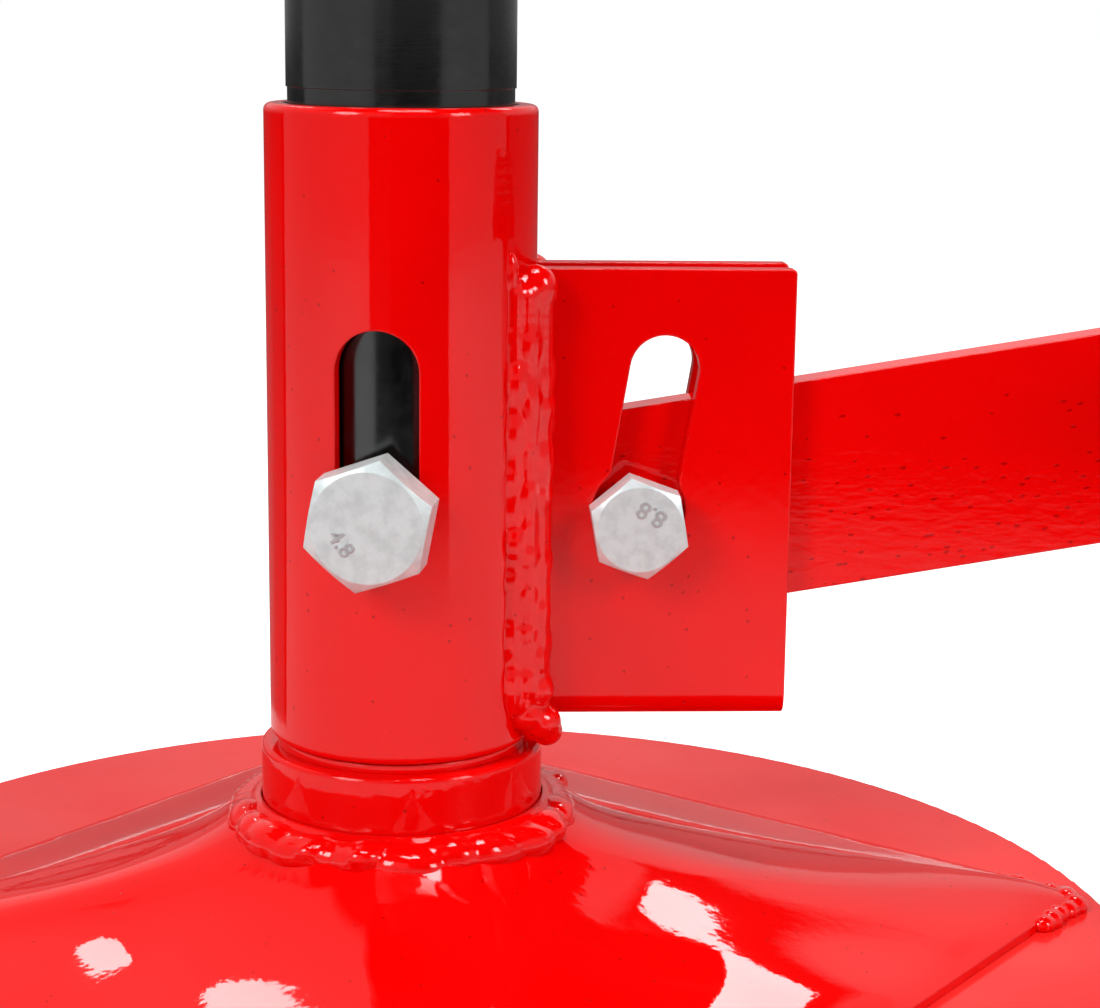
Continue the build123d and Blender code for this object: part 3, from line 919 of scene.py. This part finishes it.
@dataclass
class Column:
    """Sleeve, bracket, their welds and the pivot bolt.

    A run is its place along X and Y, its radius and its unevenness, and a lump its centre and its
    three radii, all in millimetres on the far side.
    """

    low: float = 62.0 * MM
    high: float = 150.0 * MM
    runs: tuple[tuple[float, float, float, float], ...] = (
        (22.8, 15.9, 2.8, 0.35),
        (25.0, 13.6, 4.1, 0.3),
        (27.3, 11.2, 4.4, 0.35),
        (29.3, 9.7, 2.5, 0.5),
    )
    lumps: tuple[tuple[Triple, Triple], ...] = (
        ((27.6, 12.0, 149.4), (4.9, 4.2, 5.2)),
        ((25.0, 13.4, 146.5), (4.4, 4.0, 6.5)),
        ((22.0, 17.2, 153.0), (2.2, 1.8, 5.0)),
        ((26.4, 13.2, 70.5), (4.6, 3.6, 6.0)),
        ((27.6, 12.4, 64.0), (5.0, 4.2, 4.4)),
        ((26.2, 13.4, 58.6), (4.6, 4.0, 3.6)),
        ((29.4, 11.8, 56.6), (4.8, 4.4, 4.4)),
        ((31.0, 11.0, 54.4), (3.6, 3.8, 3.4)),
    )
    core_pitch: float = 0.5
    drip_start: float = 4.0 * MM
    drip_end: float = 8.0 * MM
    drip_half: Pair = (5.0, 11.0)
    drip_pitch: Pair = (1.0, 1.6)
    seed: int = 12

    def dress(self, nodes: Nodes, looks: Looks, welder: WeldMaker) -> None:
        """Finish the nodes, lay the beads and number the bolt.

        Args:
            nodes: node name to object.
            looks: finish to its material.
            welder: builds the beads.
        """
        finish_nodes(nodes, ("sleeve", "bracket"), looks[GLOSS_RED])
        finish_nodes(nodes, ("pivot_bolt", "pivot_washer", "pivot_nut"), looks[ZINC])
        finish_nodes(nodes, ("pivot_bush",), looks[STEEL])
        drops = self.drops(-1) + self.drops(1)
        welder.place("bracket_beads", drops, Body.SLEEVE, "bracket_welds", looks[SEAM_RED])
        number = HeadNumber(
            "8.8",
            origin=Vector((49.9, -16.1, 99.4)) * MM,
            outward=Vector((0.0, -1.0, 0.0)),
            turn=math.radians(150.5),
            offset=(2.4 * MM, 3.5 * MM),
            size=5.2 * MM,
        )
        number.place("pivot_bolt_number", Body.SLEEVE, looks[ZINC_PAINTED_SHADE])

    def drops(self, side: int) -> list[Drop]:
        """Return the drops of one upright bead: long runs, a cap above and thick drips below.

        Args:
            side: -1 for the photographed side, 1 for the far side.

        Returns:
            The drops.
        """
        chance = random.Random(self.seed + side)
        drops = []
        for run in self.runs:
            drops += self.run(chance, side, *run)
        for (x, y, z), radii in self.lumps:
            drops.append(Drop(Vector((x, side * y, z)) * MM, tuple(size * MM for size in radii)))
        return drops

    def run(
        self,
        chance: random.Random,
        side: int,
        out: float,
        across: float,
        size: float,
        jitter: float,
    ) -> list[Drop]:
        """Return one upright run of long drops on an even core.

        Args:
            chance: source of the unevenness.
            side: -1 for the photographed side, 1 for the far side.
            out: distance of the run from the axis along X, in millimetres.
            across: its distance from the axis along Y, in millimetres.
            size: its radius, in millimetres.
            jitter: greatest wander and change of radius, in millimetres.

        Returns:
            The drops from the bottom up.
        """
        drops = []
        height = self.low
        while height < self.high:
            center = Vector((out * MM, side * across * MM, height))
            drops.append(Drop(center, (size * MM,) * 3))
            height += self.core_pitch * size * MM
        height = self.low + self.drip_start
        while height < self.high - self.drip_end:
            half = chance.uniform(*self.drip_half) * MM
            x = (out + chance.uniform(-jitter, jitter)) * MM
            y = side * (across + chance.uniform(0.0, jitter)) * MM
            width = (size + chance.uniform(0.0, jitter)) * MM
            drops.append(Drop(Vector((x, y, height)), (width, width, half)))
            height += half * chance.uniform(*self.drip_pitch)
        return drops


@dataclass
class Pedal:
    """Lever, foot plate and rubber pad."""

    def dress(self, nodes: Nodes, looks: Looks) -> None:
        """Finish the nodes.

        Args:
            nodes: node name to object.
            looks: finish to its material.
        """
        finish_nodes(nodes, ("lever",), looks[LEVER_RED])
        finish_nodes(nodes, ("pedal_plate",), looks[GLOSS_RED])
        finish_nodes(nodes, ("pedal_welds",), looks[WELD_RED])
        finish_nodes(nodes, ("pedal_pad",), looks[RUBBER])


@dataclass
class Lift:
    """Ram, its rim ring and the lift bolt."""

    bearing: float = math.radians(-100.0)
    face: float = 38.8 * MM
    height: float = 104.5 * MM

    def dress(self, nodes: Nodes, looks: Looks) -> None:
        """Finish the nodes and number the bolt.

        Args:
            nodes: node name to object.
            looks: finish to its material.
        """
        finish_nodes(nodes, ("ram", "rim_ring"), looks[BLACK])
        finish_nodes(nodes, ("lift_bolt", "lift_washer", "lift_nut"), looks[ZINC])
        outward = Vector((math.cos(self.bearing), math.sin(self.bearing), 0.0))
        number = HeadNumber(
            "4.8",
            origin=outward * self.face + Vector((0.0, 0.0, self.height)),
            outward=outward,
            turn=math.radians(-53.6),
            offset=(-5.1 * MM, -3.2 * MM),
            size=4.7 * MM,
        )
        number.place("lift_bolt_number", Body.RAM, looks[ZINC_PAINTED_SHADE])


@dataclass
class Top:
    """Post, locking pin and saddle."""

    def dress(self, nodes: Nodes, looks: Looks) -> None:
        """Finish the nodes.

        Args:
            nodes: node name to object.
            looks: finish to its material.
        """
        finish_nodes(nodes, ("post", "post_collar"), looks[ZINC])
        finish_nodes(nodes, ("spigot_screw",), looks[BLACK])
        finish_nodes(nodes, ("locking_pin", "pull_ring", "saddle_spigot"), looks[STEEL])
        finish_nodes(nodes, ("saddle",), looks[GLOSS_RED])


@dataclass(frozen=True)
class Panel:
    """A bright wall panel: its azimuths from the camera side in radians, its heights, its level."""

    start: float
    end: float
    low: float
    high: float
    level: float
    fade: float = 0.035


@dataclass(frozen=True)
class Card:
    """A card on the floor that only reflections show: its azimuths in degrees, reach and shade."""

    start: float
    end: float
    near: float
    shade: float
    fade: float = 0.0
    far: float = 14.0


@dataclass(frozen=True)
class SoftBox:
    """An area lamp that looks at the stand."""

    name: str
    place: Triple
    size: Pair
    power: float


@dataclass
class Studio:
    """Floor, soft boxes, surroundings and camera."""

    camera_place: Vector = field(default_factory=lambda: Vector((5.284, -504.58, 206.84)) * MM)
    pitch: float = math.radians(11.761)
    yaw: float = math.radians(3.008)
    roll: float = math.radians(0.675)
    lens: float = 78.545
    sensor: float = 36.0
    nearest: float = 10.0 * MM
    floor_size: float = 30.0
    floor_drop: float = 0.5 * MM
    floor_color: Color = (0.5, 0.5, 0.5)
    floor_glow: float = 0.9
    floor_sheen: float = 0.3
    base_level: float = 0.03
    aim_height: float = 0.1
    card_height: float = 0.4 * MM
    card_slice: float = 20.0
    card_edge: float = 0.01
    panels: tuple[Panel, ...] = (
        Panel(-1.98, -0.14, -1.0, 0.74, 0.5),
        Panel(-3.3, -1.9, 0.14, 0.86, 0.6),
        Panel(-3.3, -2.3, 0.14, 0.56, 0.75),
        Panel(0.62, 1.66, -1.0, 0.6, 0.42),
        Panel(1.74, 3.3, 0.14, 0.56, 0.75),
        Panel(2.2, 2.62, 0.5, 0.68, 0.6),
        Panel(-3.3, 3.3, -1.0, 0.2, 0.3),
    )
    cards: tuple[Card, ...] = (
        Card(-9.0, 40.0, 0.3, 0.01, 0.3),
        Card(-26.0, -9.0, 0.3, 0.06, 0.3),
        Card(-117.0, -113.0, 0.2, 0.02),
        Card(-140.0, -117.0, 0.2, 0.16),
        Card(-180.0, -140.0, 0.2, 0.22),
        Card(97.0, 100.5, 0.2, 0.02),
        Card(100.5, 180.0, 0.2, 0.3),
    )
    boxes: tuple[SoftBox, ...] = (
        SoftBox("left_box", (-0.95, -0.85, 0.95), (0.5, 0.6), 12.4),
        SoftBox("right_box", (1.05, -0.8, 0.8), (0.4, 0.5), 9.4),
        SoftBox("top_box", (0.05, -0.1, 1.4), (0.5, 0.4), 11.0),
        SoftBox("back_right_box", (0.493, 0.978, 1.042), (0.17, 0.17), 1.15),
        SoftBox("back_left_box", (-0.427, 0.973, 1.059), (0.12, 0.12), 0.5),
    )

    def build(self) -> None:
        """Build the studio."""
        self.floor()
        for card in self.cards:
            self.lay(card)
        self.surroundings()
        self.lamps()
        self.camera()

    def floor(self) -> None:
        """Lay a pale floor that turns white to the camera but keeps the shadow."""
        spot = (0.0, 0.0, -self.floor_drop)
        bpy.ops.object.select_all(action="DESELECT")
        bpy.ops.mesh.primitive_plane_add(size=self.floor_size, location=spot)
        floor = settle(bpy.context.active_object, "floor")
        material = bpy.data.materials.new("pale_floor")
        material.use_nodes = True
        graph = NodeGraph(material.node_tree)
        path = graph.add("ShaderNodeLightPath")
        seen = graph.math("MULTIPLY", path.outputs["Is Camera Ray"], self.floor_glow)
        through = (path.outputs["Is Glossy Ray"], path.outputs["Is Transmission Ray"])
        mirrored = graph.math("MULTIPLY", graph.math("MAXIMUM", *through), self.floor_sheen)
        matt = graph.add("ShaderNodeBsdfDiffuse", {"Color": (*self.floor_color, 1.0)})
        glow = graph.add("ShaderNodeEmission", {"Strength": graph.math("ADD", seen, mirrored)})
        both = graph.add("ShaderNodeAddShader", {0: matt.outputs[0], 1: glow.outputs[0]})
        graph.add("ShaderNodeOutputMaterial", {"Surface": both.outputs[0]})
        paint(floor, material)

    def lay(self, card: Card) -> None:
        """Lay one card, hidden from the camera and without a shadow.

        Args:
            card: the card.
        """
        item = self.card_shape(card)
        paint(item, self.card_look(card))
        item.visible_camera = False
        item.visible_diffuse = False
        item.visible_shadow = False

    def card_shape(self, card: Card) -> bpy.types.Object:
        """Cut a card in slices that follow its arc.

        Args:
            card: the card.

        Returns:
            The card's object.
        """
        count = math.ceil((card.end - card.start) / self.card_slice)
        width = (card.end - card.start) / count
        slices = []
        for step in range(count):
            bpy.ops.object.select_all(action="DESELECT")
            bpy.ops.mesh.primitive_plane_add(size=1.0, location=(0.0, 0.0, 0.0))
            piece = bpy.context.active_object
            sides = [math.radians(card.start + width * side) for side in (step, step + 1)]
            spots = [(angle, reach) for reach in (card.near, card.far) for angle in sides]
            for vertex, (angle, reach) in zip(piece.data.vertices, spots):
                flat = (reach * math.sin(angle), -reach * math.cos(angle))
                vertex.co = (*flat, self.card_height)
            slices.append(piece)
        pick_only(*slices)
        if count > 1:
            bpy.ops.object.join()
        return settle(bpy.context.active_object, "floor_card")

    def card_look(self, card: Card) -> bpy.types.Material:
        """Make a matt card that fades in at its near edge.

        Args:
            card: the card.

        Returns:
            Its material.
        """
        material = bpy.data.materials.new("floor_card")
        material.use_nodes = True
        graph = NodeGraph(material.node_tree)
        shade = (card.shade, card.shade, card.shade, 1.0)
        matt = graph.add("ShaderNodeBsdfDiffuse", {"Color": shade})
        clear = graph.add("ShaderNodeBsdfTransparent")
        flat = graph.stretch(graph.place(), (1.0, 1.0, 0.0))
        reach = graph.add("ShaderNodeVectorMath", {0: flat}, operation="LENGTH").outputs["Value"]
        covered = card.near + self.card_edge + card.fade
        cover = graph.ramp(reach, card.near - self.card_edge, covered)
        values = {0: cover, 1: clear.outputs[0], 2: matt.outputs[0]}
        both = graph.add("ShaderNodeMixShader", values)
        graph.add("ShaderNodeOutputMaterial", {"Surface": both.outputs[0]})
        return material

    def surroundings(self) -> None:
        """Set a white backdrop to the camera, and panels round a dark gap to the rest."""
        world = bpy.data.worlds.new("studio")
        bpy.context.scene.world = world
        world.use_nodes = True
        graph = NodeGraph(world.node_tree)
        place = graph.add("ShaderNodeTexCoord").outputs["Generated"]
        parts = graph.add("ShaderNodeSeparateXYZ", {0: place}).outputs
        front = graph.math("MULTIPLY", parts[1], -1.0)
        azimuth = graph.math("ARCTAN2", parts[0], front)
        level = self.base_level
        for panel in self.panels:
            edges = (
                (azimuth, panel.start, panel.fade),
                (azimuth, panel.end, -panel.fade),
                (parts[2], panel.low, panel.fade),
                (parts[2], panel.high, -panel.fade),
            )
            mask = panel.level
            for value, middle, soft in edges:
                mask = graph.math("MULTIPLY", mask, self.step(graph, value, middle, soft))
            level = graph.math("MAXIMUM", level, mask)
        path = graph.add("ShaderNodeLightPath")
        seen = (path.outputs["Is Camera Ray"], path.outputs["Is Transmission Ray"])
        strength = graph.math("MAXIMUM", level, graph.math("MAXIMUM", *seen))
        values = {"Color": (1.0, 1.0, 1.0, 1.0), "Strength": strength}
        light = graph.add("ShaderNodeBackground", values)
        graph.add("ShaderNodeOutputWorld", {"Surface": light.outputs[0]})

    @staticmethod
    def step(graph: NodeGraph, value: Value, middle: float, soft: float) -> Socket:
        """Return a step at the middle that rises where soft is positive and falls otherwise.

        Args:
            graph: the graph to add to.
            value: input socket.
            middle: place of the step.
            soft: half the step's width, with its sign.

        Returns:
            The step's socket.
        """
        rising = graph.ramp(value, middle - abs(soft), middle + abs(soft))
        return rising if soft > 0 else graph.math("SUBTRACT", 1.0, rising)

    def lamps(self) -> None:
        """Hang the soft boxes."""
        for box in self.boxes:
            lamp = bpy.data.lights.new(box.name, "AREA")
            lamp.shape = "RECTANGLE"
            lamp.size, lamp.size_y = box.size
            lamp.energy = box.power
            item = bpy.data.objects.new(box.name, lamp)
            bpy.context.scene.collection.objects.link(item)
            aim = Vector((0.0, 0.0, self.aim_height)) - Vector(box.place)
            item.location = box.place
            item.rotation_euler = aim.to_track_quat("-Z", "Y").to_euler()

    def camera(self) -> None:
        """Set the camera where the photograph was taken."""
        forward = Vector(
            (
                math.sin(self.yaw) * math.cos(self.pitch),
                math.cos(self.yaw) * math.cos(self.pitch),
                -math.sin(self.pitch),
            )
        )
        level = Vector((math.cos(self.yaw), -math.sin(self.yaw), 0.0))
        upright = level.cross(forward)
        right = level * math.cos(self.roll) + upright * math.sin(self.roll)
        up = upright * math.cos(self.roll) - level * math.sin(self.roll)
        lens = bpy.data.cameras.new("camera")
        lens.lens = self.lens
        lens.sensor_width = self.sensor
        lens.clip_start = self.nearest
        item = bpy.data.objects.new("camera", lens)
        bpy.context.scene.collection.objects.link(item)
        axes = Matrix((right, up, -forward)).transposed().to_4x4()
        item.matrix_world = Matrix.Translation(self.camera_place) @ axes
        bpy.context.scene.camera = item


def main() -> None:
    """Dress the whole stand and set the studio."""
    logging.basicConfig(level=logging.INFO, format="%(message)s")
    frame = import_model()
    bpy.context.scene.view_settings.view_transform = "Standard"
    effects = SharedEffects()
    looks = {finish: finish.build(effects) for finish in FINISHES}
    welder = WeldMaker()
    nodes = frame["nodes"]
    Base().dress(nodes, looks, welder)
    Column().dress(nodes, looks, welder)
    Pedal().dress(nodes, looks)
    Lift().dress(nodes, looks)
    Top().dress(nodes, looks)
    Studio().build()


if __name__ == "__main__":
    main()
